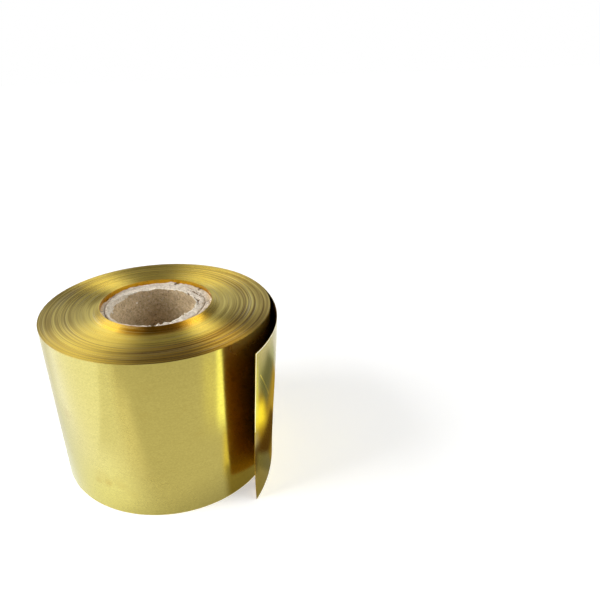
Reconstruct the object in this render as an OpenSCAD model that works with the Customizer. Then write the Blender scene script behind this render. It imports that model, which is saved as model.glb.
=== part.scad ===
// Roll of brass strip, standing on its end.
// The strip is wound tightly on a pressed-paper core, and its loose end springs away from the roll.
// The origin is on the roll's axis at its lower end, and +Z runs up the axis.

/* [Strip] */
// Width of the strip, which is the height of the standing roll
strip_w = 100; // [50:5:200]
// Thickness of the strip
strip_t = 0.2; // [0.15:0.05:0.5]

/* [Roll] */
// Outer diameter of the wound roll
roll_d = 134; // [110:1:200]
// Number of turns in one step that shows on the roll's ends
turns_per_step = 5; // [3:1:10]
// Greatest axial wander of one step of turns against the outermost
wander = 0.3; // [0.1:0.05:0.6]
// How far the innermost turns stand up round the core
collar_rise = 2.5; // [1:0.1:4]
// Radial depth over which the raised turns fall back to level
collar_run = 5.5; // [3:0.5:10]

/* [Core] */
// Bore of the paper core
core_bore = 50; // [35:1:60]
// Wall of the paper core
core_wall = 7.5; // [3:0.5:10]
// How far the core stands above the strip's edge
core_proud = 0.4; // [0:0.1:3]
// Bevel on the cut edges of the core
core_bevel = 0.5; // [0.2:0.1:1]
// Radial clearance between the core and the first turn
core_fit = 0.05; // [0.02:0.01:0.2]

/* [Loose end] */
// Length of strip that stands free of the roll
tail_len = 97; // [40:1:140]
// How much wider than the roll the free strip curls
tail_spring = 25; // [15:1:40]
// Direction in which the strip leaves the roll
tail_start = 18.5; // [-40:0.5:60]

/* [Hidden] */
$fn = 180;

brass = "#C9B25A";
paper = "#B7A48C";

// The free strip's outer face starts this far inside the last turn, so that the two are one piece
lap_bite = 0.05;
// Turning angle of the sequence that spreads the wander over the steps
wander_turn = 137.5;

roll_r = roll_d / 2;
core_r = core_bore / 2 + core_wall;
bore_r = core_r + core_fit;
core_len = strip_w + core_proud;

step = turns_per_step * strip_t;
steps = max(2, floor((roll_r - bore_r) / step));

tail_r = roll_r + tail_spring;
tail_sweep = tail_len / tail_r * 180 / PI;
// Radius that the whole strip stays inside
reach = 2 * tail_r;
// No turn stands higher than this
highest = strip_w + collar_rise + wander;
// How far the uncut strip stands past its ends, and each cutting space past that
spare = 1;

// Inner radius of step i, counted from the core
function step_r(i) = bore_r + i * step;

// Rise of the raised inner turns at radius r, steepest at the core
function collar(r) = let (left = max(0, 1 - (r - bore_r) / collar_run)) collar_rise * pow(left, 1.5);

// Axial shift of step i. Every turn is as wide as the strip, so what stands up at the top is
// drawn in at the bottom, and the outermost step rests level.
function shift(i) =
    i == steps - 1 ? 0 : collar(step_r(i)) + wander * (1 + sin(i * wander_turn)) / 2;

// Profile of the end at height z, from the axis outwards: flat lands joined by upright steps,
// and level from the outermost step to past the loose end
function end_profile(z) = concat(
    [[0, z + shift(0)]],
    [for (i = [1 : steps - 1], land = [i - 1, i]) [step_r(i), z + shift(land)]],
    [[reach, z]]
);

// Wedge from the +X axis clockwise through the angle sweep, past the loose end's reach
module sector(sweep) {
    polygon(concat([[0, 0]], [for (a = [0, sweep / 2, sweep]) reach * [cos(a), -sin(a)]]));
}

// Seen from above, the free strip: one curl that leaves the roll on its tangent
module loose_end_outline() {
    rotate(tail_start)
        translate([roll_r - lap_bite - tail_r, 0])
            intersection() {
                difference() {
                    circle(tail_r);
                    circle(tail_r - strip_t);
                }
                sector(tail_sweep);
            }
}

// Seen from above, the whole strip: the wound turns with their bore, and the loose end
module strip_outline() {
    union() {
        difference() {
            circle(roll_r);
            circle(bore_r);
        }
        loose_end_outline();
    }
}

// The space past one end of the strip, from its stepped turns at height z out to the height limit
module space_past_end(z, limit) {
    rotate_extrude()
        polygon(concat([[0, limit]], end_profile(z), [[reach, limit]]));
}

// The strip is one piece from its first turn to its loose end. It stands between the stepped
// profiles of its two ends.
module coiled_strip() {
    color(brass)
        difference() {
            translate([0, 0, -spare])
                linear_extrude(highest + 2 * spare)
                    strip_outline();
            space_past_end(strip_w, highest + 2 * spare);
            space_past_end(0, -2 * spare);
        }
}

// Pressed-paper tube that the strip is wound on, cut square with bevelled edges
module core_tube() {
    in_r = core_bore / 2;
    color(paper)
        rotate_extrude()
            polygon([
                [in_r, core_bevel],
                [in_r + core_bevel, 0],
                [core_r - core_bevel, 0],
                [core_r, core_bevel],
                [core_r, core_len - core_bevel],
                [core_r - core_bevel, core_len],
                [in_r + core_bevel, core_len],
                [in_r, core_len - core_bevel],
            ]);
}

coiled_strip();
core_tube();
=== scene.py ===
"""Looks of a roll of brass strip: the wound strip with its loose end, and the paper core it is wound on.

Lengths are in metres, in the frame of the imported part: +Z up the roll's axis, z = 0 where it stands.
"""

import math

import bmesh
import bpy
import numpy as np
from mathutils import Euler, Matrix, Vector


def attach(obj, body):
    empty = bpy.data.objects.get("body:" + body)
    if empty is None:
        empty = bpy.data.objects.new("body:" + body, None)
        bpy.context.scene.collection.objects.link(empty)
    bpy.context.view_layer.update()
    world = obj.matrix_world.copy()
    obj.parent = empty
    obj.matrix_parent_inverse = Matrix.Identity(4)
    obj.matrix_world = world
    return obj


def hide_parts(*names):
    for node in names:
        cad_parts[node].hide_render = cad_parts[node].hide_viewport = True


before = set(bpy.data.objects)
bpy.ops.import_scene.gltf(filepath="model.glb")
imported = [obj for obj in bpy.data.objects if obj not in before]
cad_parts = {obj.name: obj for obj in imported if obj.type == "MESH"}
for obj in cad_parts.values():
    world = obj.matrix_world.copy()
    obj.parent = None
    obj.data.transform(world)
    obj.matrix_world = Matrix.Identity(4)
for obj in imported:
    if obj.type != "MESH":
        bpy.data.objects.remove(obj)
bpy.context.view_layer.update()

MM = 0.001

# The wound strip
STRIP_W = 100 * MM
ROLL_R = 67 * MM
BORE_R = 32.55 * MM
TURNS = 171
PITCH = (ROLL_R - BORE_R) / (TURNS + 1)
# Columns of faces in one turn, and rows of faces up the outer wall
COLUMNS = 120
WALL_ROWS = 40
# How far the innermost turns stand up, and the depth over which they fall back to level
COLLAR_RISE = 2.5 * MM
COLLAR_RUN = 5.5 * MM
# Wander of the turns: height in millimetres, seed, and turns in one wave
WANDER = ((0.10, 3, 9.0), (0.05, 4, 3.0), (0.03, 5, 1.0))
# Turns over which the wander dies out at the outside and calms at the core, and its share at the core
WANDER_FADE = 4
CORE_WANDER = 0.3

# The loose end, at heights from 0 at its foot to 1 at its top: direction in which it leaves the roll, in
# degrees; radius of its curl where it leaves and at its free edge, and free length, in millimetres
LOOSE_END = (
    (0.00, -7.7, 193, 81, 62.6),
    (0.33, -2.8, 157, 77, 70.6),
    (0.67, 5.9, 127, 75, 81.9),
    (1.00, 14.4, 100, 87, 92.1),
)
# The last turn ends here, and the loose end begins
LAP_END = math.radians(15)
TAIL_COLUMNS = 80
# Share of the loose end's length, and of its height, that its burred rim takes up
BURR = 0.005
# Columns of the loose end, counted from its free edge, whose upper rim is burred
BURRED_COLUMNS = 60

# The paper core
CORE_R = 32.5 * MM
CORE_BORE = 25 * MM
CORE_LEN = 100.4 * MM
CORE_BEVEL = 0.5 * MM

# Middle of the roll, which the lamps and the softboxes face
MIDDLE = Vector((0, 0, STRIP_W / 2))


def knots_of(seed, shape):
    """Seeded random values in -1..1, the same in every run."""
    return np.random.RandomState(seed).uniform(-1, 1, shape)


def ease(share):
    """Makes a share between 0 and 1 start and stop softly."""
    return share * share * (3 - 2 * share)


def smooth_noise(x, seed, step):
    """Random values in -1..1 at every step of x, joined by smooth curves."""
    knots = knots_of(seed, int(np.max(x) / step) + 3)
    low = np.floor(x / step).astype(int)
    share = ease(x / step - low)
    return knots[low] * (1 - share) + knots[low + 1] * share


def new_object(name, data):
    """An object of the scene."""
    obj = bpy.data.objects.new(name, data)
    bpy.context.scene.collection.objects.link(obj)
    return obj


def mesh_object(name, verts, faces):
    """A mesh object from rows of points and of corner numbers. A corner named twice counts once."""
    mesh = bpy.data.meshes.new(name)
    corners = [tuple(dict.fromkeys(face)) for face in faces]
    mesh.from_pydata(np.asarray(verts).tolist(), [], corners)
    mesh.update()
    return new_object(name, mesh)


def flat_square(name, half):
    """A square that lies in its own XY plane, from -half to half."""
    corners = [(-half, -half, 0), (half, -half, 0), (half, half, 0), (-half, half, 0)]
    return mesh_object(name, corners, [(0, 1, 2, 3)])


def grid_faces(grid, flip=False):
    """The four-cornered faces of a grid of point numbers."""
    a, b, c, d = grid[:-1, :-1], grid[1:, :-1], grid[1:, 1:], grid[:-1, 1:]
    corners = (a, d, c, b) if flip else (a, b, c, d)
    return np.stack([corner.ravel() for corner in corners], 1)


def closed(grid):
    """A grid with its first column again at its end."""
    return np.hstack([grid, grid[:, :1]])


def on_circle(angle, radius, z):
    """Points at an angle and a radius about the axis, at height z."""
    return np.stack(np.broadcast_arrays(radius * np.cos(angle), radius * np.sin(angle), z), -1)


class Builder:
    """Collects points and faces, and which finish each face has."""

    def __init__(self):
        self.points = []
        self.faces = []
        self.finish = []
        self.count = 0

    def add_points(self, xyz):
        """Adds an array of points of any shape (..., 3), and returns their numbers in that shape."""
        flat = xyz.reshape(-1, 3)
        self.points.append(flat)
        numbers = np.arange(self.count, self.count + len(flat))
        self.count += len(flat)
        return numbers.reshape(xyz.shape[:-1])

    def add_grid(self, grid, finish, flip=False):
        """Adds the faces of a grid, with one finish or an array of one for each face."""
        faces = grid_faces(grid, flip).tolist()
        self.faces.extend(faces)
        self.finish.append(np.broadcast_to(finish, len(faces)))

    def add_face(self, corners, finish):
        """Adds one face."""
        self.faces.append([int(corner) for corner in corners])
        self.finish.append(np.full(1, finish))

    def make(self, name):
        """The mesh object, without spare points, its faces turned outwards."""
        obj = mesh_object(name, np.vstack(self.points), self.faces)
        obj.data.polygons.foreach_set("material_index", np.concatenate(self.finish).astype(np.int32))
        shaped = bmesh.new()
        shaped.from_mesh(obj.data)
        spare = [point for point in shaped.verts if not point.link_faces]
        bmesh.ops.delete(shaped, geom=spare, context="VERTS")
        bmesh.ops.recalc_face_normals(shaped, faces=shaped.faces)
        shaped.to_mesh(obj.data)
        shaped.free()
        return obj


# Finish numbers of the strip: outer side, slit edges, inner side with painted warm shade, steps between
# the turns on the roll's ends with painted shade, and burred rim of the loose end with a painted highlight
FACE, EDGE, INNER, STEP, BURRED = 0, 1, 2, 3, 4

# Columns of the last turn in a row of the whole winding
LAST_TURN = slice(-COLUMNS - 1, None)


def turn_shift(turn):
    """How far a turn stands above the level of the outermost one. turn counts turns from the core."""
    left = np.clip(1 - PITCH * turn / COLLAR_RUN, 0, 1)
    collar = COLLAR_RISE * left ** 1.5
    wander = 0.0
    for rise, seed, turns in WANDER:
        wander = wander + rise * MM * (1 + smooth_noise(turn, seed, turns))
    outmost = np.clip((TURNS - 1 - turn) / WANDER_FADE, 0, 1)
    inmost = np.clip(turn / WANDER_FADE, 0, 1)
    return collar + wander * outmost * (CORE_WANDER + (1 - CORE_WANDER) * inmost)


def coil_columns():
    """Angle, inner radius and shift of every column of the winding, from the core to the exit."""
    turn = np.arange(COLUMNS * TURNS + 1) / COLUMNS
    angle = LAP_END + 2 * math.pi * (TURNS - turn)
    return angle, BORE_R + PITCH * turn, turn_shift(turn)


def loose_end(height):
    """Points of the loose end's outer face, and its inner face, at each height and each column."""
    table = np.array(LOOSE_END)
    columns = (np.radians(table[:, 1]), 1 / (table[:, 2] * MM), 1 / (table[:, 3] * MM), table[:, 4] * MM)
    # A cubic through the table's four heights
    fitted = [np.polyval(np.polyfit(table[:, 0], column, 3), height)[:, None] for column in columns]
    leaves, first_curl, last_curl, free = fitted
    held = ROLL_R * (LAP_END - leaves)
    along = (held + free) * np.append(np.linspace(0, 1 - BURR, TAIL_COLUMNS), 1)
    past = np.maximum(along - held, 0)
    turned = np.minimum(along, held) / ROLL_R + first_curl * past
    turned = turned + (last_curl - first_curl) * past ** 2 / (2 * free)
    heading = LAP_END - math.pi / 2 - turned
    middle = (heading[:, 1:] + heading[:, :-1]) / 2
    step = np.diff(along, axis=1)
    x = ROLL_R * math.cos(LAP_END) + np.cumsum(step * np.cos(middle), axis=1)
    y = ROLL_R * math.sin(LAP_END) + np.cumsum(step * np.sin(middle), axis=1)
    outer = np.stack([x, y, height[:, None] * STRIP_W + 0 * x], -1)
    heading = heading[:, 1:]
    outward = np.stack([-np.sin(heading), np.cos(heading), 0 * heading], -1)
    return outer, outer - PITCH * outward


def wound_end(b, angle, inner, z, flip):
    """Edges and steps of one end's turns. Returns the numbers of their inner and outer points."""
    inner_line = b.add_points(on_circle(angle, inner, z))
    outer_line = b.add_points(on_circle(angle, inner + PITCH, z))
    # Where the last turn ends, it shares its inner point with the turn inside it
    outer_line[-COLUMNS - 1] = inner_line[-1]
    b.add_grid(np.stack([inner_line, outer_line]), EDGE, flip)
    b.add_grid(np.stack([outer_line[:-COLUMNS], inner_line[COLUMNS:]]), STEP, flip)
    return inner_line, outer_line


def strip_bore(b, foot, top):
    """The inner side of the first turn, between the roll's two ends."""
    foot_inner, foot_outer = foot
    top_inner, top_outer = top
    b.add_grid(np.stack([foot_inner[:COLUMNS], top_inner[:COLUMNS]]), INNER)
    # The strip's first end meets the first turn in one upright line, which both share
    seam = [top_inner[COLUMNS], foot_outer[0]]
    b.add_face([foot_inner[COLUMNS - 1], top_inner[COLUMNS - 1], *seam, foot_inner[COLUMNS]], INNER)
    b.add_face([foot_inner[0], top_inner[0], top_outer[0], *seam], EDGE)


def outer_side_finish():
    """Plain, but for the burred upper rim of the loose end and the upper half of its free edge, which carry a
    painted highlight.
    """
    finish = np.full((WALL_ROWS, COLUMNS + TAIL_COLUMNS), FACE)
    finish[-1, -BURRED_COLUMNS:] = BURRED
    finish[WALL_ROWS // 2:, -1] = BURRED
    return finish.ravel()


def wound_strip():
    """The whole strip as one closed mesh: stepped turns on both ends, bore, outer wall and loose end."""
    b = Builder()
    angle, inner, shift = coil_columns()
    top = wound_end(b, angle, inner, STRIP_W + shift, False)
    foot = wound_end(b, angle, inner, shift, True)
    strip_bore(b, foot, top)

    height = np.append(np.linspace(0, 1 - BURR, WALL_ROWS), 1)
    between = (height * STRIP_W)[1:-1, None]
    rows = b.add_points(on_circle(angle[LAST_TURN], inner[LAST_TURN] + PITCH, between))
    wall = np.vstack([foot[1][LAST_TURN], rows, top[1][LAST_TURN]])

    outer_points, inner_points = loose_end(height)
    free_face = b.add_points(outer_points)
    free_back = b.add_points(inner_points)
    outside = np.hstack([wall, free_face])
    inside = np.hstack([wall[:, :1], free_back])
    b.add_grid(outside, outer_side_finish(), True)
    b.add_grid(inside, INNER)
    b.add_grid(np.stack([inside[-1], outside[-1, COLUMNS:]]), EDGE)
    b.add_grid(np.stack([inside[0], outside[0, COLUMNS:]]), EDGE, True)
    b.add_grid(np.stack([free_back[:, -1], free_face[:, -1]], 1), EDGE, True)
    return b.make("wound_strip")


# Mouth of the worn core, all round: angle in degrees, radius and height in millimetres
CORE_MOUTH = (
    (-180, 28.8, 100.0),
    (-140, 28.3, 99.75),
    (-112, 26.6, 99.75),
    (-90, 25.3, 99.1),
    (-70, 24.3, 99.7),
    (-50, 23.2, 100.2),
    (-20, 23.3, 100.2),
    (0, 23.0, 100.1),
    (30, 21.8, 99.8),
    (50, 22.8, 99.5),
    (64, 23.8, 99.4),
    (90, 24.0, 99.3),
    (120, 25.3, 99.5),
    (150, 27.6, 99.9),
    (180, 28.8, 100.0),
)
# Columns of faces all round, and rows across the rim and down the bore
CORE_COLUMNS = 640
RIM_ROWS = 22
BORE_ROWS = 34
# Torn fibres: the first rows of the rim, and the bore down to this depth where the mouth is this wide; then
# their least depth on the near side
FRINGE_ROWS = 2
FRINGE_DEPTH = 5.0 * MM
WIDE_MOUTH_R = 28.8 * MM
NEAR_FRINGE = 0.4 * MM

# Height of the rim's outer edge, and its swells: angle and width in degrees, rise in millimetres
RIM_LEVEL = 100.25 * MM
RIM_SWELLS = ((-105, 40, -1.2), (70, 80, 0.1))
# Raggedness of the torn mouth, and chips in the rim's outer edge: seed, size and depth in millimetres
RAGGED_OUT = ((21, 3.0, 0.35), (22, 1.0, 0.25))
RAGGED_UP = (23, 2.0, 0.25)
CHIPS = (24, 1.6, 0.2)
# Lumps of the rim: seed, size and height in millimetres
RIM_LUMPS = ((25, 4.0, 0.22), (26, 1.5, 0.26), (27, 0.8, 0.20))
# Radius on which the torn mouth, the lumps and the chips are laid out, in millimetres
MOUTH_R = 25
LUMPS_R = 28
CHIPS_R = 32
# The lumps are counted outwards from this radius
LUMPS_FROM = 20 * MM
# Lifted places of the rim's outer edge: angle in degrees, rise in millimetres, steepness; then their width
LIFTED_EDGES = ((-4, 0.7, 6), (71, 0.6, 3))
LIFT_WIDTH = 4

# Cracks and notches in the rim: both ends, as degrees and a radius, then width and depth, in millimetres
CRACKS = (
    ((33, 22.6), (-1, 24.5), 0.45, 1.2),
    ((-1, 24.5), (-14, 24.0), 0.45, 1.0),
    ((-17, 25.3), (-4, 31.2), 0.40, 0.9),
    ((40, 26.4), (8, 28.0), 0.30, 0.95),
    ((34, 22.0), (30, 22.6), 0.60, 1.3),
    ((-14, 23.6), (-13, 24.3), 0.60, 1.3),
    ((61.5, 33.0), (64.5, 31.0), 0.70, 1.6),
    ((30.5, 33.0), (31.3, 31.0), 0.50, 1.3),
    ((179, 33.0), (179, 31.8), 0.60, 1.4),
    ((95, 33.0), (108, 32.6), 0.35, 1.0),
    ((140, 33.0), (160, 32.7), 0.35, 1.0),
)
# Below this depth a crack is painted dark, as shade
CRACK_SHADE_DEPTH = 0.55 * MM

# Tufts of torn paper along the near edge: angle in degrees, height in millimetres; then their width
TUFTS = (
    (-131, 0.4), (-118, 0.5), (-101, 0.7), (-91, 1.0), (-83, 0.6),
    (-72, 0.8), (-64, 0.5), (-57, 0.9), (-50, 0.8),
)
TUFT_WIDTH = 1.6

# Ring seam between the plies on the rim: middle radius, how far it lies off centre, and the waves of its
# wobble: their number, phase and swing
SEAM_R = 29.3 * MM
SEAM_LEAN = -1.1 * MM
SEAM_WAVES = ((3, 1.0, 0.30 * MM), (7, 2.0, 0.16 * MM))
SEAM_WIDTH = 0.35 * MM
SEAM_DEPTH = 0.55 * MM
# The outer ply lies this much lower, past a slope this wide
PLY_DROP = 0.20 * MM
PLY_SLOPE = 0.8 * MM

# Down the bore: depth of the mouth's wear and of its torn edge, and the tube's spiral seam
WEAR_DEPTH = 6 * MM
TORN_DEPTH = 1.2 * MM
SPIRAL_RISE = 0.12 * MM
SPIRAL_PITCH = 11 * MM

# Finish numbers of the core; the cracks' finish is painted shade
BORE, RIM, FRINGE, CRACK = 0, 1, 2, 3


def ring_noise(angle, across, seed, size, radius):
    """Smooth random values on a ring: angle runs round it, across is a length, size a length."""
    count = max(3, int(round(2 * math.pi * radius / size)))
    rows = int(np.max(across) / size) + 3
    knots = knots_of(seed, (count, rows))
    round_it = (angle / (2 * math.pi) % 1) * count
    outwards = across / size
    place = np.floor(round_it).astype(int)
    row = np.floor(outwards).astype(int)
    place_share = ease(round_it - place)
    row_share = ease(outwards - row)
    here = place % count
    beside = (here + 1) % count
    low = knots[here, row] * (1 - place_share) + knots[beside, row] * place_share
    high = knots[here, row + 1] * (1 - place_share) + knots[beside, row + 1] * place_share
    return low * (1 - row_share) + high * row_share


def ragged(angle, seed, size, depth, radius=MOUTH_R):
    """Smooth random swings along one ring, up to a depth to either side."""
    return ring_noise(angle, 0 * angle, seed, size, radius) * depth


def furrow(x, y, start, end, width, depth):
    """A groove along a line between two places, as the table of cracks gives it."""
    ends = [(r * MM * math.cos(math.radians(a)), r * MM * math.sin(math.radians(a))) for a, r in (start, end)]
    (x0, y0), (x1, y1) = ends
    length = math.hypot(x1 - x0, y1 - y0)
    along = ((x - x0) * (x1 - x0) + (y - y0) * (y1 - y0)) / length
    aside = ((x - x0) * (y1 - y0) - (y - y0) * (x1 - x0)) / length
    past = np.maximum(np.maximum(-along, along - length), 0)
    return -depth * MM * np.exp(-(aside ** 2 + past ** 2) / (width * MM) ** 2)


def bump(angle, centre, width):
    """A hump of height 1 round a ring. Its centre and width are in degrees."""
    off = (np.degrees(angle) - centre + 180) % 360 - 180
    return np.exp(-(off / width) ** 2)


def spread_between(value, low, high):
    """Rises from 0 at low to 1 at high."""
    return np.clip((value - low) / (high - low), 0, 1)


def core_mouth(angle):
    """The worn mouth all round: its even radius, then the radius and the height of its torn edge."""
    degrees, radius, height = np.array(CORE_MOUTH, float).T
    even_r = np.interp(np.degrees(angle), degrees, radius) * MM
    torn_z = np.interp(np.degrees(angle), degrees, height) * MM
    outwards = sum(ragged(angle, *swings) for swings in RAGGED_OUT)
    return even_r, even_r + outwards * MM, torn_z + ragged(angle, *RAGGED_UP) * MM


def core_rim_height(angle, share, mouth_z):
    """Height of the torn rim, where share runs from 0 at its mouth to 1 at its outer edge."""
    outer = RIM_LEVEL
    for place, width, rise in RIM_SWELLS:
        outer = outer + rise * MM * bump(angle, place, width)
    # It has risen to the outer edge's height before it is half way across
    return mouth_z + (outer - mouth_z) * np.clip(share * 2.2, 0, 1) ** 0.7


def seam_radius(angle):
    """Radius of the seam between two plies of the rim."""
    radius = SEAM_R + SEAM_LEAN * np.cos(angle)
    for waves, phase, swing in SEAM_WAVES:
        radius = radius + swing * np.sin(waves * angle + phase)
    return radius


def core_rim(angle, mouth_r, mouth_z):
    """Points of the torn rim from its mouth to its outer edge, and how low its cracks lie there."""
    share = np.linspace(0, 1, RIM_ROWS + 1)[:, None]
    r = mouth_r + (CORE_R - mouth_r) * share
    # The chips are in the outermost tenth
    chipped = ragged(angle, *CHIPS, CHIPS_R) * MM
    r = r + np.clip(share - 0.9, 0, 1) * 10 * np.minimum(chipped, 0)
    angle = angle + 0 * r
    z = core_rim_height(angle, share, mouth_z)
    for seed, size, rise in RIM_LUMPS:
        z = z + ring_noise(angle, (r - LUMPS_FROM) / MM, seed, size, LUMPS_R) * rise * MM
    seam_r = seam_radius(angle)
    z = z - SEAM_DEPTH * np.exp(-((r - seam_r) / SEAM_WIDTH) ** 2)
    z = z - PLY_DROP * spread_between(r, seam_r, seam_r + PLY_SLOPE)
    cracks = sum(furrow(r * np.cos(angle), r * np.sin(angle), *crack) for crack in CRACKS)
    z = z + cracks
    for place, rise, steep in LIFTED_EDGES:
        z = z + rise * MM * bump(angle, place, LIFT_WIDTH) * share ** steep
    # The tufts stand in the first ninth
    for place, rise in TUFTS:
        z = z + rise * MM * bump(angle, place, TUFT_WIDTH) * np.exp(-(share * 9) ** 2)
    return on_circle(angle, r, z), cracks


def core_bore(angle, even_r, mouth_r, mouth_z):
    """Points of the bore from below its mouth to its foot, and how deep each row lies."""
    # The rows lie closer together near the mouth
    depth = np.linspace(0, 1, BORE_ROWS + 1)[1:, None] ** 1.7 * (CORE_LEN - CORE_BEVEL)
    z = np.maximum(mouth_z - depth, CORE_BEVEL)
    z[-1] = CORE_BEVEL
    worn = np.exp(-(depth / WEAR_DEPTH) ** 2)
    # The spiral seam is a pair of steep steps
    spiral = SPIRAL_RISE * np.clip(np.sin(angle + z / SPIRAL_PITCH) * 12, -1, 1)
    r = CORE_BORE + (even_r - CORE_BORE) * worn + spiral * (1 - worn)
    r = r + (mouth_r - even_r) * np.exp(-(depth / TORN_DEPTH) ** 2)
    return on_circle(angle + 0 * z, r, z), depth


def core_foot(angle):
    """Points of the foot and the outer side, from the bore's foot up to below the rim."""
    r = np.array([CORE_BORE + CORE_BEVEL, CORE_R - CORE_BEVEL, CORE_R, CORE_R, CORE_R])[:, None]
    z = np.array([0.0, 0.0, CORE_BEVEL, 50 * MM, 97 * MM])[:, None]
    return on_circle(angle + 0 * z, r + 0 * angle, z + 0 * angle)


def fringe_depth(angle, even_r):
    """How deep the pale torn fibres reach into the bore, all round: further where the mouth is wide."""
    deep = FRINGE_DEPTH * spread_between(even_r, CORE_BORE, WIDE_MOUTH_R) ** 0.8
    deep = deep * (1 + ragged(angle, 29, 4.0, 0.25))
    return np.where(angle < 0, np.maximum(deep, NEAR_FRINGE), deep)


def paper_core():
    """The paper tube as one closed mesh, with its torn and worn upper rim."""
    b = Builder()
    angle = np.linspace(-math.pi, math.pi, CORE_COLUMNS + 1)[:-1]
    even_r, mouth_r, mouth_z = core_mouth(angle)
    rim_points, cracks = core_rim(angle, mouth_r, mouth_z)
    bore_points, depth = core_bore(angle, even_r, mouth_r, mouth_z)
    rim = b.add_points(rim_points)
    bore = b.add_points(bore_points)
    foot = b.add_points(core_foot(angle))
    b.add_grid(closed(rim[:FRINGE_ROWS + 1]), FRINGE)
    crack_shaded = cracks[FRINGE_ROWS:-1] < -CRACK_SHADE_DEPTH
    b.add_grid(closed(rim[FRINGE_ROWS:]), np.where(crack_shaded, CRACK, RIM).ravel())
    torn = depth < fringe_depth(angle, even_r)
    b.add_grid(closed(np.vstack([rim[:1], bore])), np.where(torn, FRINGE, BORE).ravel(), True)
    b.add_grid(closed(np.vstack([bore[-1:], foot, rim[-1:]])), RIM, True)
    return b.make("paper_core")


def link(tree, value, socket):
    """Joins an output to a socket, or sets the socket to a plain value."""
    if isinstance(value, bpy.types.NodeSocket):
        tree.links.new(value, socket)
    else:
        socket.default_value = value


def node(tree, kind, inputs=None, **props):
    """A shader node with its properties set and its inputs linked or filled."""
    made = tree.nodes.new("ShaderNode" + kind)
    for key, value in props.items():
        setattr(made, key, value)
    for key, value in (inputs or {}).items():
        link(tree, value, made.inputs[key])
    return made


def math_node(tree, operation, a, b=0.0, clamp=False):
    """A number worked out from two numbers."""
    return node(tree, "Math", {0: a, 1: b}, operation=operation, use_clamp=clamp).outputs[0]


def times(tree, a, b):
    """The product of two numbers."""
    return math_node(tree, "MULTIPLY", a, b)


def times_plus(tree, value, factor, addend):
    """value times factor, plus addend."""
    return node(tree, "Math", {0: value, 1: factor, 2: addend}, operation="MULTIPLY_ADD").outputs[0]


def add_share(tree, total, value, share):
    """total, plus a share of value."""
    return math_node(tree, "ADD", total, times(tree, value, share))


def vector_number(tree, operation, a, b=(0.0, 0.0, 0.0)):
    """A number from one or two places, such as their distance."""
    return node(tree, "VectorMath", {0: a, 1: b}, operation=operation).outputs["Value"]


def spread(tree, value, low, high, to_low=0.0, to_high=1.0, curve="LINEAR"):
    """Maps low..high to to_low..to_high and stops there."""
    span = {0: value, 1: low, 2: high, 3: to_low, 4: to_high}
    return node(tree, "MapRange", span, interpolation_type=curve).outputs[0]


def mix_colour(tree, share, a, b, blend="MIX"):
    """Colour a with a share of colour b laid over it."""
    made = node(tree, "Mix", data_type="RGBA", blend_type=blend)
    link(tree, share, made.inputs[0])
    link(tree, a, made.inputs[6])
    link(tree, b, made.inputs[7])
    return made.outputs[2]


def noise(tree, place, scale, detail=2.0, roughness=0.5, distortion=0.0):
    """Noise between 0 and 1."""
    inputs = {"Vector": place, "Scale": scale, "Detail": detail, "Roughness": roughness}
    return node(tree, "TexNoise", inputs | {"Distortion": distortion}).outputs["Fac"]


def blank_material(name):
    """A material without nodes, and its node tree."""
    material = bpy.data.materials.new(name)
    material.use_nodes = True
    material.node_tree.nodes.clear()
    return material, material.node_tree


def finish_with(tree, shader):
    """Makes a shader the surface of its material."""
    node(tree, "OutputMaterial", {"Surface": shader.outputs[0]})


def finish_surface(tree, colour, roughness, relief, more=None):
    """A surface of a colour and a roughness. relief gives its height, its strength and its depth."""
    bump_map = node(tree, "Bump", dict(zip(("Height", "Strength", "Distance"), relief)))
    inputs = {"Base Color": colour, "Roughness": roughness, "Normal": bump_map.outputs[0]}
    finish_with(tree, node(tree, "BsdfPrincipled", inputs | (more or {})))


def own_place(tree):
    """The place on the surface, in the object's own measure."""
    return node(tree, "TexCoord").outputs["Object"]


def place_in_mm(tree):
    """The place on the surface in millimetres."""
    return node(tree, "VectorMath", {0: own_place(tree), 3: 1 / MM}, operation="SCALE").outputs[0]


def seen_by_eyes(tree):
    """1 for what the camera, gloss and glass see, and 0 for light that is gathered."""
    path = node(tree, "LightPath").outputs
    seen = math_node(tree, "ADD", path["Is Camera Ray"], path["Is Glossy Ray"])
    return math_node(tree, "ADD", seen, path["Is Transmission Ray"], True)


def shader_group(name):
    """An empty node group, and the place in millimetres that it takes in."""
    tree = bpy.data.node_groups.new(name, "ShaderNodeTree")
    tree.interface.new_socket(name="Place", in_out="INPUT", socket_type="NodeSocketVector")
    return tree, tree.nodes.new("NodeGroupInput").outputs["Place"]


def give_out(tree, results):
    """Makes named numbers the outputs of a group."""
    for name in results:
        tree.interface.new_socket(name=name, in_out="OUTPUT", socket_type="NodeSocketFloat")
    end = tree.nodes.new("NodeGroupOutput")
    for name, value in results.items():
        link(tree, value, end.inputs[name])


def use_group(tree, group):
    """Lays a node group over the surface, and returns its outputs."""
    made = tree.nodes.new("ShaderNodeGroup")
    made.node_tree = group
    link(tree, place_in_mm(tree), made.inputs["Place"])
    return made.outputs


def parts(tree, place):
    """The X, Y and Z of a place."""
    return node(tree, "SeparateXYZ", {0: place}).outputs


def off_axis(tree, place):
    """How far a place lies from the roll's axis along x and along y."""
    part = parts(tree, place)
    return node(tree, "CombineXYZ", {0: part["X"], 1: part["Y"], 2: 0.0}).outputs[0]


def radius_of(tree, place):
    """Distance of a place from the roll's axis."""
    return vector_number(tree, "LENGTH", off_axis(tree, place))


def way_to(tree, place):
    """Direction of a place from the roll's axis, one long."""
    return node(tree, "VectorMath", {0: off_axis(tree, place)}, operation="NORMALIZE").outputs[0]


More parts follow.
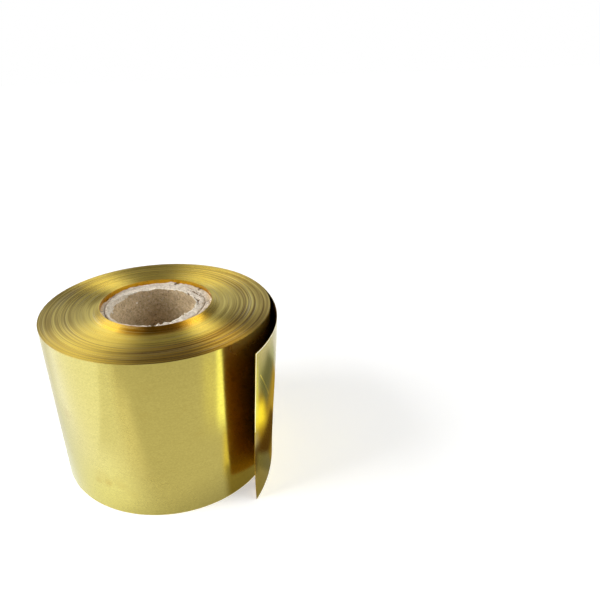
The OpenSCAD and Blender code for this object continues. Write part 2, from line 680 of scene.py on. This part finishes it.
def lined_noise(tree, way, turning, offset, width, detail, seed):
    """Noise in lines of a width, laid round the roll. turning is how soon they change on their way."""
    part = parts(tree, way)
    x = times(tree, part["X"], turning)
    y = times(tree, part["Y"], turning)
    z = times_plus(tree, offset, 1.0 / width, seed)
    return noise(tree, node(tree, "CombineXYZ", {0: x, 1: y, 2: z}).outputs[0], 1.0, detail)


def rolled_grain_group():
    """Marks of the rolling mill: grain that runs along the strip, a fine mottle, faint stains and scuffs."""
    tree, place = shader_group("rolled_grain")
    way = way_to(tree, place)
    height = parts(tree, place)["Z"]

    def marks(along, across, detail, seed):
        """Noise whose marks are this long along the strip and across it, in millimetres."""
        return lined_noise(tree, way, ROLL_R / MM / along, height, across, detail, seed)

    coarse = times(tree, marks(22.0, 1.3, 2.0, 3.1), 0.55)
    give_out(tree, {
        "Grain": add_share(tree, coarse, marks(9.0, 0.45, 2.0, 17.7), 0.45),
        "Mottle": marks(1.1, 0.8, 2.0, 41.3),
        "Stain": spread(tree, marks(16.0, 12.0, 3.0, 8.9), 0.60, 0.78),
        "Scuff": spread(tree, marks(5.0, 1.4, 4.0, 77.0), 0.66, 0.80),
    })
    return tree


# Fine lines of the turns: width in millimetres, seed, and share
FINE_LINES = ((1.4, 5.0, 0.34), (0.75, 90.0, 0.36), (0.42, 150.0, 0.30))

# Looks of the turns on one side of the roll: its direction from the axis, and how far to either side of that
# the look is full and reaches, in degrees; then the radii in millimetres between which it comes in
SIDE_LOOKS = {
    # Calm and Calm Right are painted light: the lines evened out where the softboxes' highlights fall
    "Calm": (-158, 30, 58, 37.0, 43.0),
    "Calm Right": (-5, 28, 55, 37.0, 43.0),
    # The outer rings darker and browner to the front right
    "Darker Front Right": (-68, 18, 53, 48.0, 52.0),
    # A painted highlight: the rings lighter on the back side
    "Bright": (92, 30, 62, 40.0, 48.0),
    # Painted warm shade on the raised inner turns at the front
    "Collar Warm Shade": (-93, 18, 36, 41.0, 35.5),
    # A painted dark reflection on the raised inner turns at the front
    "Dark": (-110, 8, 19, 41.0, 35.5),
}


def side_look(tree, way, radius, look):
    """1 where a look of the table is, falling to 0 where it ends."""
    direction, full, reach = np.radians(look[:3])
    aside = vector_number(tree, "DOT_PRODUCT", way, (math.cos(direction), math.sin(direction), 0.0))
    on_side = spread(tree, aside, math.cos(reach), math.cos(full))
    return times(tree, on_side, spread(tree, radius, *look[3:]))


def ring_lines_group():
    """Lines of the single turns on the roll's ends, and the sides on which they look different, most through
    painted light and shade.
    """
    tree, place = shader_group("ring_lines")
    radius = radius_of(tree, place)
    way = way_to(tree, place)

    def lines(width, turning, detail, seed):
        """Noise in rings of a width in millimetres."""
        return lined_noise(tree, way, turning, radius, width, detail, seed)

    fine = 0.0
    for width, seed, share in FINE_LINES:
        fine = add_share(tree, fine, lines(width, 1.1, 0.0, seed), share)
    looks = {name: side_look(tree, way, radius, look) for name, look in SIDE_LOOKS.items()}
    # As painted light, the lines are evened out under the right highlight half as much as under the left
    calm_right = times(tree, looks.pop("Calm Right"), 0.5)
    looks["Calm"] = math_node(tree, "MAXIMUM", looks["Calm"], calm_right)
    give_out(tree, looks | {
        "Fine": fine,
        "Bands": lines(2.4, 0.9, 1.0, 31.0),
        "Glint": spread(tree, lines(0.45, 1.2, 0.0, 63.0), 0.66, 0.76),
        "Radius": radius,
    })
    return tree


# Low and high tone of each finish of the strip, and single tones on them
FACE_TONES = ((0.53, 0.435, 0.108, 1), (0.61, 0.505, 0.132, 1))
# The inner side's deeper orange tones are painted warm shade, for light bounced between brass faces
INNER_WARM_SHADE_TONES = ((0.60, 0.34, 0.020, 1), (0.72, 0.42, 0.028, 1))
EDGE_TONES = ((0.42, 0.255, 0.027, 1), (1.0, 0.82, 0.16, 1))
# The steps' dark tones are painted shade between the turns
STEP_SHADE_TONES = ((0.20, 0.11, 0.006, 1), (0.34, 0.21, 0.014, 1))
# Pale tones of the burred rim: rubbed bright, and partly a painted highlight
BURR_AND_HIGHLIGHT_TONES = ((0.95, 0.90, 0.60, 1), (1.0, 0.98, 0.85, 1))
STAIN_TONE = (0.50, 0.37, 0.075, 1)
GLINT_TONE = (1.0, 0.95, 0.55, 1)
# Tone to which the lines are evened out where the highlights fall, as painted light
CALM_UNDER_HIGHLIGHT_TONE = (0.66, 0.52, 0.105, 1)
# Tint of the darker outer rings to the front right
FRONT_RIGHT_TINT = (0.74, 0.62, 0.50, 1)
# Tint of the painted warm shade on the raised inner turns
AMBER = (0.82, 0.60, 0.25, 1)
# Tint of the painted dark reflection on the raised inner turns
COLLAR_DARK_REFLECTION = (0.55, 0.52, 0.40, 1)

# Roughness of the strip's outer and inner side, and its swing with the mill's marks
FACE_ROUGHNESS = 0.155
INNER_ROUGHNESS = 0.28
ROUGHNESS_SWING = 0.015

# Faint stains on the outer wall: place in millimetres, radius, and strength
STAINS = (
    ((-37.6, -55.5, 20.0), 2.6, 0.75),
    ((-43.4, -51.0, 19.5), 2.4, 0.60),
    ((-40.4, -53.5, 23.0), 6.0, 0.30),
    ((-54.9, -38.5, 58.5), 4.0, 0.55),
)

# The crease across the loose end, from end to end, in millimetres, and the colour of its painted highlight
CREASE = ((47.6, -65.5, 84.6), (54.22, -55.24, 65.2))
CREASE_HIGHLIGHT_TONE = (1.0, 0.76, 0.12, 1)

# The rubbed upper edge of the outer turn: heights, and shares of the way towards +X, between which it comes
# in, and radii between which it ends
RUBBED_HEIGHT = (82.0, 97.0)
RUBBED_AHEAD = (0.41, 0.54)
RUBBED_RADIUS = (67.05, 67.50)


def stain_spots(tree):
    """How strongly the named stains tint a place on the wall."""
    place = place_in_mm(tree)
    blur = times(tree, noise(tree, place, 0.55, 3.0, 0.6), 3.0)
    total = 0.0
    for centre, radius, strength in STAINS:
        away = math_node(tree, "ADD", vector_number(tree, "DISTANCE", place, centre), blur)
        # It fades out round its radius
        spot = spread(tree, away, radius * 0.6, radius * 1.3 + 1.5, strength, 0.0)
        total = math_node(tree, "ADD", total, spot, True)
    return total


def crease_line(tree):
    """1 along the crease, falling to 0 beside it."""
    start, end = (Vector(point) for point in CREASE)
    length = (end - start).length
    way = (end - start) / length
    off = node(tree, "VectorMath", {0: place_in_mm(tree), 1: start}, operation="SUBTRACT").outputs[0]
    along = spread(tree, vector_number(tree, "DOT_PRODUCT", off, way), 0.0, length, 0.0, length)
    nearest = node(tree, "VectorMath", {0: way, 3: along}, operation="SCALE").outputs[0]
    return spread(tree, vector_number(tree, "DISTANCE", off, nearest), 0.15, 0.55, 1.0, 0.0)


def rubbed_top(tree):
    """1 along the outer turn's upper edge beside the loose end, where it is rubbed dull."""
    place = place_in_mm(tree)
    ahead = parts(tree, way_to(tree, place))["X"]
    rubbed = spread(tree, parts(tree, place)["Z"], *RUBBED_HEIGHT)
    rubbed = times(tree, rubbed, spread(tree, ahead, *RUBBED_AHEAD))
    return times(tree, rubbed, spread(tree, radius_of(tree, place), *RUBBED_RADIUS, 1.0, 0.0))


def brass_face_material(name, grain_group, tones, roughness, worn):
    """Satin rolled brass of the strip's sides; the inner side's tones carry painted warm shade.
    The worn one has stains, a crease with a painted highlight along it, and a rubbed edge.
    """
    material, tree = blank_material(name)
    marks = use_group(tree, grain_group)
    tone = add_share(tree, times(tree, marks["Grain"], 0.3), marks["Mottle"], 0.7)
    colour = mix_colour(tree, spread(tree, tone, 0.36, 0.64), *tones)
    colour = mix_colour(tree, times(tree, marks["Stain"], 0.35), colour, STAIN_TONE)
    rough = spread(tree, tone, 0.35, 0.65, roughness + ROUGHNESS_SWING, roughness - ROUGHNESS_SWING)
    rough = add_share(tree, rough, marks["Scuff"], 0.02)
    if worn:
        crease = crease_line(tree)
        colour = mix_colour(tree, stain_spots(tree), colour, STAIN_TONE)
        # Painted highlight along the crease
        colour = mix_colour(tree, times(tree, crease, 0.7), colour, CREASE_HIGHLIGHT_TONE)
        rough = add_share(tree, rough, crease, 0.10)
        rough = add_share(tree, rough, rubbed_top(tree), 0.16)
    relief = add_share(tree, marks["Grain"], marks["Mottle"], 0.6)
    finish_surface(tree, colour, rough, (relief, 0.02, 0.2 * MM), {"Metallic": 1.0})
    return material


def brass_burr_material(grain_group):
    """The burred rim of the loose end, rubbed bright, its pale tone partly a painted highlight."""
    material, tree = blank_material("brass_burr_and_highlight")
    mottle = use_group(tree, grain_group)["Mottle"]
    colour = mix_colour(tree, mottle, *BURR_AND_HIGHLIGHT_TONES)
    inputs = {"Base Color": colour, "Metallic": 1.0, "Roughness": 0.45}
    finish_with(tree, node(tree, "BsdfPrincipled", inputs))
    return material


def brass_edge_material(name, ring_group, tones, glint, calm=None):
    """Slit edges of the turns, side by side on the roll's ends, with painted highlights and shade on some
    sides.
    calm is the tone to which their lines are evened out where the highlights fall, as painted light.
    """
    low, high = tones
    material, tree = blank_material(name)
    rings = use_group(tree, ring_group)
    level = add_share(tree, times(tree, rings["Fine"], 0.80), rings["Bands"], 0.20)
    colour = mix_colour(tree, spread(tree, level, 0.43, 0.57), low, high)
    # The rings are even and bright further in, and darker at the outside
    colour = mix_colour(tree, spread(tree, rings["Radius"], 44.0, 52.0, 0.70, 0.0), colour, high)
    # Painted highlight on the back side
    colour = mix_colour(tree, times(tree, rings["Bright"], 0.45), colour, high)
    # Darker outer rings to the front right, then the painted warm shade and dark reflection on the inner
    # turns
    for look, tint in (("Darker Front Right", FRONT_RIGHT_TINT), ("Collar Warm Shade", AMBER), ("Dark", COLLAR_DARK_REFLECTION)):
        colour = mix_colour(tree, rings[look], colour, tint, "MULTIPLY")
    colour = mix_colour(tree, spread(tree, rings["Radius"], 59.0, 66.0, 0.0, 0.25), colour, low)
    colour = mix_colour(tree, times(tree, rings["Glint"], 0.5), colour, glint)
    # Painted light: the lines evened out where the highlights fall
    if calm is not None:
        colour = mix_colour(tree, times(tree, rings["Calm"], 0.45), colour, calm)
    rough = spread(tree, level, 0.35, 0.65, 0.46, 0.34)
    lined = {"Metallic": 1.0, "Anisotropic": 0.95, "Anisotropic Rotation": 0.25}
    finish_surface(tree, colour, rough, (level, 0.35, 0.3 * MM), lined)
    return material


# Low and high tone of each finish of the core, and single tones on them
BORE_TONES = ((0.34, 0.245, 0.125, 1), (0.68, 0.52, 0.31, 1))
RIM_TONES = ((0.43, 0.36, 0.275, 1), (0.79, 0.71, 0.60, 1))
FRINGE_TONES = ((0.53, 0.47, 0.36, 1), (0.90, 0.83, 0.71, 1))
# The cracks' dark tones are painted shade
CRACK_SHADE_TONES = ((0.10, 0.06, 0.03, 1), (0.30, 0.20, 0.11, 1))
PAPER_DARK = (0.13, 0.085, 0.045, 1)
PAPER_PALE = (0.88, 0.80, 0.66, 1)
SEAM_TONE = (0.20, 0.13, 0.07, 1)
PAPER_ROUGHNESS = 0.92

# White fleck on the bore, in millimetres
FLECK = (-12.1, 21.9, 92.5)
# Shifts the pale specks away from the dark ones
SPECK_SHIFT = (31.0, 17.0, 5.0)


def paper_fibre_group():
    """Pressed paper with dark and pale specks and short fibres."""
    tree, place = shader_group("paper_fibre")
    shifted = node(tree, "VectorMath", {0: place, 1: SPECK_SHIFT}, operation="ADD").outputs[0]
    give_out(tree, {
        "Cloud": noise(tree, place, 0.45, 4.0, 0.6),
        "Dark Speck": spread(tree, noise(tree, place, 0.95, 2.0, 0.6), 0.58, 0.68),
        "Pale Speck": spread(tree, noise(tree, shifted, 1.1, 2.0, 0.6), 0.58, 0.70),
        "Fibre": noise(tree, place, 1.3, 3.0, 0.7, 1.2),
    })
    return tree


def core_plies_group():
    """The dark seam between two plies on the core's rim."""
    tree, place = shader_group("core_plies")
    part = parts(tree, way_to(tree, place))
    angle = math_node(tree, "ARCTAN2", part["Y"], part["X"])
    seam = times_plus(tree, part["X"], SEAM_LEAN / MM, SEAM_R / MM)
    for waves, phase, swing in SEAM_WAVES:
        turned = times_plus(tree, angle, float(waves), phase)
        seam = add_share(tree, seam, math_node(tree, "SINE", turned), swing / MM)
    off = math_node(tree, "SUBTRACT", radius_of(tree, place), seam)
    give_out(tree, {"Seam": spread(tree, math_node(tree, "ABSOLUTE", off), 0.15, 0.55, 1.0, 0.0)})
    return tree


def paper_tone(tree, fibre_group, tones, dark_share, pale_share):
    """Colour of pressed paper between two tones, with specks, and its fibre for the bump."""
    paper = use_group(tree, fibre_group)
    tone = add_share(tree, times(tree, paper["Cloud"], 0.45), paper["Fibre"], 0.55)
    colour = mix_colour(tree, spread(tree, tone, 0.38, 0.62), *tones)
    colour = mix_colour(tree, times(tree, paper["Dark Speck"], dark_share), colour, PAPER_DARK)
    colour = mix_colour(tree, times(tree, paper["Pale Speck"], pale_share), colour, PAPER_PALE)
    return colour, paper["Fibre"]


def core_bore_material(fibre_group):
    """Grey-brown inside of the tube, with one loose white fleck."""
    material, tree = blank_material("core_bore")
    colour, fibre = paper_tone(tree, fibre_group, BORE_TONES, 0.75, 0.40)
    away = vector_number(tree, "DISTANCE", place_in_mm(tree), FLECK)
    colour = mix_colour(tree, spread(tree, away, 0.4, 0.8, 1.0, 0.0), colour, PAPER_PALE)
    finish_surface(tree, colour, PAPER_ROUGHNESS, (fibre, 0.7, 0.4 * MM))
    return material


def core_rim_material(fibre_group, plies_group):
    """Torn rim, dark in the seam between its plies."""
    material, tree = blank_material("core_rim")
    colour, fibre = paper_tone(tree, fibre_group, RIM_TONES, 0.55, 0.4)
    seam = times(tree, use_group(tree, plies_group)["Seam"], 0.65)
    colour = mix_colour(tree, seam, colour, SEAM_TONE)
    finish_surface(tree, colour, PAPER_ROUGHNESS, (fibre, 0.7, 0.6 * MM))
    return material


def torn_paper_and_crack_shade_material(name, fibre_group, tones, dark_share, pale_share, depth):
    """The pale torn fibres along the mouth, or the painted shade down in the cracks."""
    material, tree = blank_material(name)
    colour, fibre = paper_tone(tree, fibre_group, tones, dark_share, pale_share)
    finish_surface(tree, colour, PAPER_ROUGHNESS, (fibre, 0.7, depth))
    return material


# Tone of the floor, the white that it adds for the eye near the roll, the distances in metres between which
# that rises to full white, and half the floor's width in metres
FLOOR_TONE = 0.64
FLOOR_GLOW = 0.48
FLOOR_FADE = (0.25, 1.5)
FLOOR_HALF = 6

# Light of the world on the object, and the dark room, its radius in metres
AMBIENT = 0.29
ROOM_R = 3.0
ROOM_COLOUR = (1, 0.80, 0.62, 1)
ROOM_GLOW = 0.09

# Glow of the round soft shadows
SHADE_COLOUR = (1, 0.7, 0.3, 1)
SHADE_GLOW = 0.03


def white_floor():
    """Plain pale floor that stays white to the eye and keeps the roll's shadow."""
    obj = flat_square("floor", FLOOR_HALF)
    material, tree = blank_material("floor_white")
    out = vector_number(tree, "LENGTH", own_place(tree))
    glow = spread(tree, out, *FLOOR_FADE, FLOOR_GLOW, 1.0, "SMOOTHSTEP")
    glow = times(tree, seen_by_eyes(tree), glow)
    white = node(tree, "Emission", {"Color": (1, 1, 1, 1), "Strength": glow})
    diffuse = node(tree, "BsdfDiffuse", {"Color": (FLOOR_TONE, FLOOR_TONE, FLOOR_TONE, 1)})
    finish_with(tree, node(tree, "AddShader", {0: diffuse.outputs[0], 1: white.outputs[0]}))
    obj.data.materials.append(material)


def stage_for_gloss(obj, material):
    """Gives an object its material and leaves it seen in the brass and by nothing else."""
    obj.data.materials.append(material)
    obj.visible_camera = False
    obj.visible_diffuse = False
    obj.visible_shadow = False
    obj.visible_volume_scatter = False


def glow_where(tree, mask, colour, strength):
    """A plain glow where the mask is 1, clear where it is 0."""
    light = node(tree, "Emission", {"Color": colour, "Strength": strength})
    clear = node(tree, "BsdfTransparent")
    finish_with(tree, node(tree, "MixShader", {0: mask, 1: clear.outputs[0], 2: light.outputs[0]}))


def soft_card(obj, colour, strength, edges):
    """Makes a square of side 1 glow, fading out over its edges, for gloss only.

    edges gives the shares of its length and of its width that fade, each for its low and its high side.
    """
    material, tree = blank_material(obj.name)
    place = parts(tree, own_place(tree))
    mask = 1.0
    for axis, (low_edge, high_edge) in zip("XY", edges):
        for rim, inside in ((-0.5, low_edge - 0.5), (0.5, 0.5 - high_edge)):
            mask = times(tree, spread(tree, place[axis], rim, inside, curve="SMOOTHSTEP"), mask)
    glow_where(tree, mask, (*colour, 1), strength)
    stage_for_gloss(obj, material)


def towards(azimuth, elevation, distance):
    """The point at an azimuth and elevation in degrees from the middle of the roll."""
    az, el = math.radians(azimuth), math.radians(elevation)
    way = Vector((math.cos(el) * math.cos(az), math.cos(el) * math.sin(az), math.sin(el)))
    return MIDDLE + distance * way


def aim_at_roll(obj, place, axis):
    """Puts an object at a place, with one of its axes towards the middle of the roll."""
    obj.location = place
    obj.rotation_euler = (MIDDLE - place).to_track_quat(axis, "Y").to_euler()


def softbox(name, azimuth, elevation, width, height, colour, strength):
    """A soft card 1 m from the roll, which the brass mirrors."""
    obj = flat_square(name, 0.5)
    aim_at_roll(obj, towards(azimuth, elevation, 1.0), "Z")
    obj.scale = (width, height, 1)
    soft_card(obj, colour, strength, ((0.5, 0.5), (0.5, 0.5)))


def square_on_floor(name, half, centre, size, lift):
    """A flat square stretched to a size, a little above the floor, in millimetres."""
    obj = flat_square(name, half)
    obj.location = (centre[0] * MM, centre[1] * MM, lift * MM)
    obj.scale = (size[0] * MM, size[1] * MM, 1)
    return obj


def floor_card(name, centre, size, turn, colour, strength, fade, lift):
    """A soft card that lies on the floor, turned by an angle. Its measures are in millimetres.

    fade is how wide its edges are along and across, or along, at its low side and at its high side.
    """
    obj = square_on_floor(name, 0.5, centre, size, lift)
    obj.rotation_euler = (0, 0, math.radians(turn))
    along, low_side, high_side = fade[0] / size[0], fade[1] / size[1], fade[-1] / size[1]
    soft_card(obj, colour, strength, ((along, along), (low_side, high_side)))


def round_shade(name, centre, radius, fade, depth, lift):
    """A round soft shadow on the floor, seen in the brass. Its measures are in millimetres."""
    obj = square_on_floor(name, 1, centre, (radius, radius), lift)
    material, tree = blank_material(name)
    out = vector_number(tree, "LENGTH", own_place(tree))
    mask = spread(tree, out, 1.0, 1 - fade / radius, 0.0, depth, "SMOOTHSTEP")
    glow_where(tree, mask, SHADE_COLOUR, SHADE_GLOW)
    stage_for_gloss(obj, material)


def dark_room():
    """A dark room round the set, so that the brass mirrors only what stands in it."""
    bpy.ops.mesh.primitive_uv_sphere_add(segments=64, ring_count=32, radius=ROOM_R)
    obj = bpy.context.object
    obj.name = "dark_room"
    material, tree = blank_material("dark_room")
    finish_with(tree, node(tree, "Emission", {"Color": ROOM_COLOUR, "Strength": ROOM_GLOW}))
    stage_for_gloss(obj, material)


def lamp(name, place, size, power):
    """A square lamp of a size in metres, which the brass doesn't mirror."""
    data = bpy.data.lights.new(name, "AREA")
    data.size = size
    data.energy = power
    obj = new_object(name, data)
    aim_at_roll(obj, place, "-Z")
    obj.visible_glossy = False


def white_world():
    """A world that is white to the eye and lights the object plainly."""
    world = bpy.data.worlds.new("studio")
    bpy.context.scene.world = world
    world.use_nodes = True
    tree = world.node_tree
    tree.nodes.clear()
    strength = times_plus(tree, seen_by_eyes(tree), 1 - AMBIENT, AMBIENT)
    background = node(tree, "Background", {"Color": (1, 1, 1, 1), "Strength": strength})
    node(tree, "OutputWorld", {"Surface": background.outputs[0]})


# The camera, set where the photograph was taken from
CAMERA_AT = (0.0, -0.2799, 0.2284)
HEADING = math.radians(11.02)
PITCH_DOWN = math.radians(27.88)
ROLL_LEFT = math.radians(-1.53)
FOCAL_PX = 513.84
PRINCIPAL = (248.18, 327.56)
IMAGE_PX = 600
SENSOR_MM = 36


def photo_camera():
    """The camera, with the photograph's view."""
    data = bpy.data.cameras.new("camera")
    data.sensor_width = SENSOR_MM
    data.lens = SENSOR_MM * FOCAL_PX / IMAGE_PX
    data.shift_x = (IMAGE_PX / 2 - PRINCIPAL[0]) / IMAGE_PX
    data.shift_y = (PRINCIPAL[1] - IMAGE_PX / 2) / IMAGE_PX
    data.clip_start = 10 * MM
    obj = new_object("camera", data)
    turn = Euler((0, 0, -HEADING)).to_matrix() @ Euler((math.pi / 2 - PITCH_DOWN, 0, 0)).to_matrix()
    turn = turn @ Euler((0, 0, ROLL_LEFT)).to_matrix()
    obj.location = CAMERA_AT
    obj.rotation_euler = turn.to_euler()
    bpy.context.scene.camera = obj


def give_finishes(obj, materials, sharp):
    """Puts materials on a piece by its finish numbers. Edges that turn by over sharp degrees stay sharp."""
    for material in materials:
        obj.data.materials.append(material)
    obj.data.shade_smooth()
    obj.data.set_sharp_from_angle(angle=math.radians(sharp))


def build_strip():
    """The strip with its finishes, in place of its solid."""
    grain = rolled_grain_group()
    rings = ring_lines_group()
    strip = wound_strip()
    give_finishes(strip, (
        brass_face_material("brass_face", grain, FACE_TONES, FACE_ROUGHNESS, True),
        brass_edge_material("brass_edge", rings, EDGE_TONES, GLINT_TONE, CALM_UNDER_HIGHLIGHT_TONE),
        brass_face_material("brass_inner_warm_shade", grain, INNER_WARM_SHADE_TONES, INNER_ROUGHNESS, False),
        brass_edge_material("brass_step_shade", rings, STEP_SHADE_TONES, STEP_SHADE_TONES[1]),
        brass_burr_material(grain),
    ), 35)
    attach(strip, "root")
    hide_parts("coiled_strip")


def build_core():
    """The core with its finishes, in place of its solid."""
    fibre = paper_fibre_group()
    plies = core_plies_group()
    core = paper_core()
    give_finishes(core, (
        core_bore_material(fibre),
        core_rim_material(fibre, plies),
        torn_paper_and_crack_shade_material("core_fringe", fibre, FRINGE_TONES, 0.4, 0.5, 0.6 * MM),
        torn_paper_and_crack_shade_material("core_crack_shade", fibre, CRACK_SHADE_TONES, 0.5, 0.1, 0.4 * MM),
    ), 50)
    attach(core, "root")
    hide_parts("core_tube")


# What the brass mirrors above the floor: name, azimuth and elevation in degrees, width and height in metres,
# colour, and strength
SOFTBOXES = (
    ("softbox_left", -173, 22, 4.0, 1.0, (1, 1, 1), 11.5),
    ("softbox_right", -19, 18, 1.2, 2.5, (1, 1, 1), 9.3),
    ("back_wall", 91, 29, 2.0, 0.42, (0.96, 1, 1.35), 0.93),
    ("overhead", 90, 70, 0.5, 1.1, (1, 0.92, 0.6), 0.35),
)

# What it mirrors on the floor, in millimetres, the higher cards over the lower ones: name, centre, size, turn
# in degrees, colour, strength, width of the edges, and lift
FLOOR_CARDS = (
    ("paper_mid", (-82, -118), (150, 60), 45, (1, 1, 1.05), 1.12, (50, 20), 0.11),
    ("paper_left", (-1206, 199), (2000, 1500), 24, (1, 1.08, 1.4), 1.42, (60, 50), 0.12),
    ("paper_step", (-128, -124), (170, 60), 39.6, (1, 1.05, 1.22), 1.19, (40, 35, 6), 0.125),
    ("cream_left", (-90, 66), (330, 153), -53.5, (0.97, 1.05, 1.0), 1.38, (60, 45), 0.13),
    ("paper_front", (512, -548), (3000, 1500), 43, (1, 1, 1), 0.84, (100, 40), 0.10),
    ("paper_back", (-121, 365), (760, 600), -38, (1, 1.02, 0.95), 0.95, (30, 70), 0.14),
    ("dark_front", (200, -810), (2400, 1400), 0, (1, 1, 1), 0.60, (100, 300), 0.16),
    ("grey_right", (147, 25), (92, 120), 0, (0.53, 0.58, 0.41), 1.0, (42, 22), 0.18),
    ("olive_right", (86, 4), (134, 128), 0, (0.50, 0.33, 0.04), 1.0, (22, 22), 0.20),
    ("dark_right", (145, 14), (70, 92), -20, (0.80, 0.85, 0.50), 0.24, (22, 22), 0.22),
    ("lemon_glow", (108, -150), (150, 70), -48, (1, 1, 0.75), 1.08, (50, 30), 0.23),
    ("gold_tail", (63, -82), (60, 13), -31, (1, 0.88, 0.30), 1.15, (18, 5), 0.25),
    ("lemon_card", (141, -125), (153, 50), -33, (0.93, 1, 0.58), 2.1, (30, 8), 0.24),
    ("gold_card", (114, -37), (60, 42), 98, (1, 0.86, 0.08), 1.75, (22, 16), 0.26),
    ("edge_light", (150, -38), (110, 22), 15, (1.0, 1.08, 0.5), 1.5, (26, 9), 0.28),
    ("dark_foot", (78, -31), (90, 33), 80, (1, 0.45, 0.05), 0.11, (12, 10), 0.30),
    ("shade_foot", (57, -51), (44, 28), 30, (1, 0.90, 0.4), 0.26, (7, 7), 0.32),
    ("gap_shade", (45, -55), (40, 36), -36, (1, 0.84, 0.36), 0.43, (8, 7), 0.34),
)

# Round soft shadows on the floor, in millimetres: name, centre, radius, width of the edge, depth, and lift
ROUND_SHADES = (
    ("shade_roll", (15, -15), 76, 38, 0.42, 0.36),
    ("shade_left", (-80, 10), 75, 55, 0.11, 0.38),
)


def build_stage():
    """The world, the floor, what the brass mirrors, and the lamps."""
    white_world()
    white_floor()
    dark_room()
    for row in SOFTBOXES:
        softbox(*row)
    for row in FLOOR_CARDS:
        floor_card(*row)
    for row in ROUND_SHADES:
        round_shade(*row)
    lamp("left_lamp", towards(-178, 34, 1.2), 0.7, 16.5)
    lamp("right_lamp", towards(-17, 34, 1.2), 0.8, 7)


photo_camera()
build_strip()
build_core()
build_stage()

bpy.context.scene.view_settings.view_transform = "Standard"
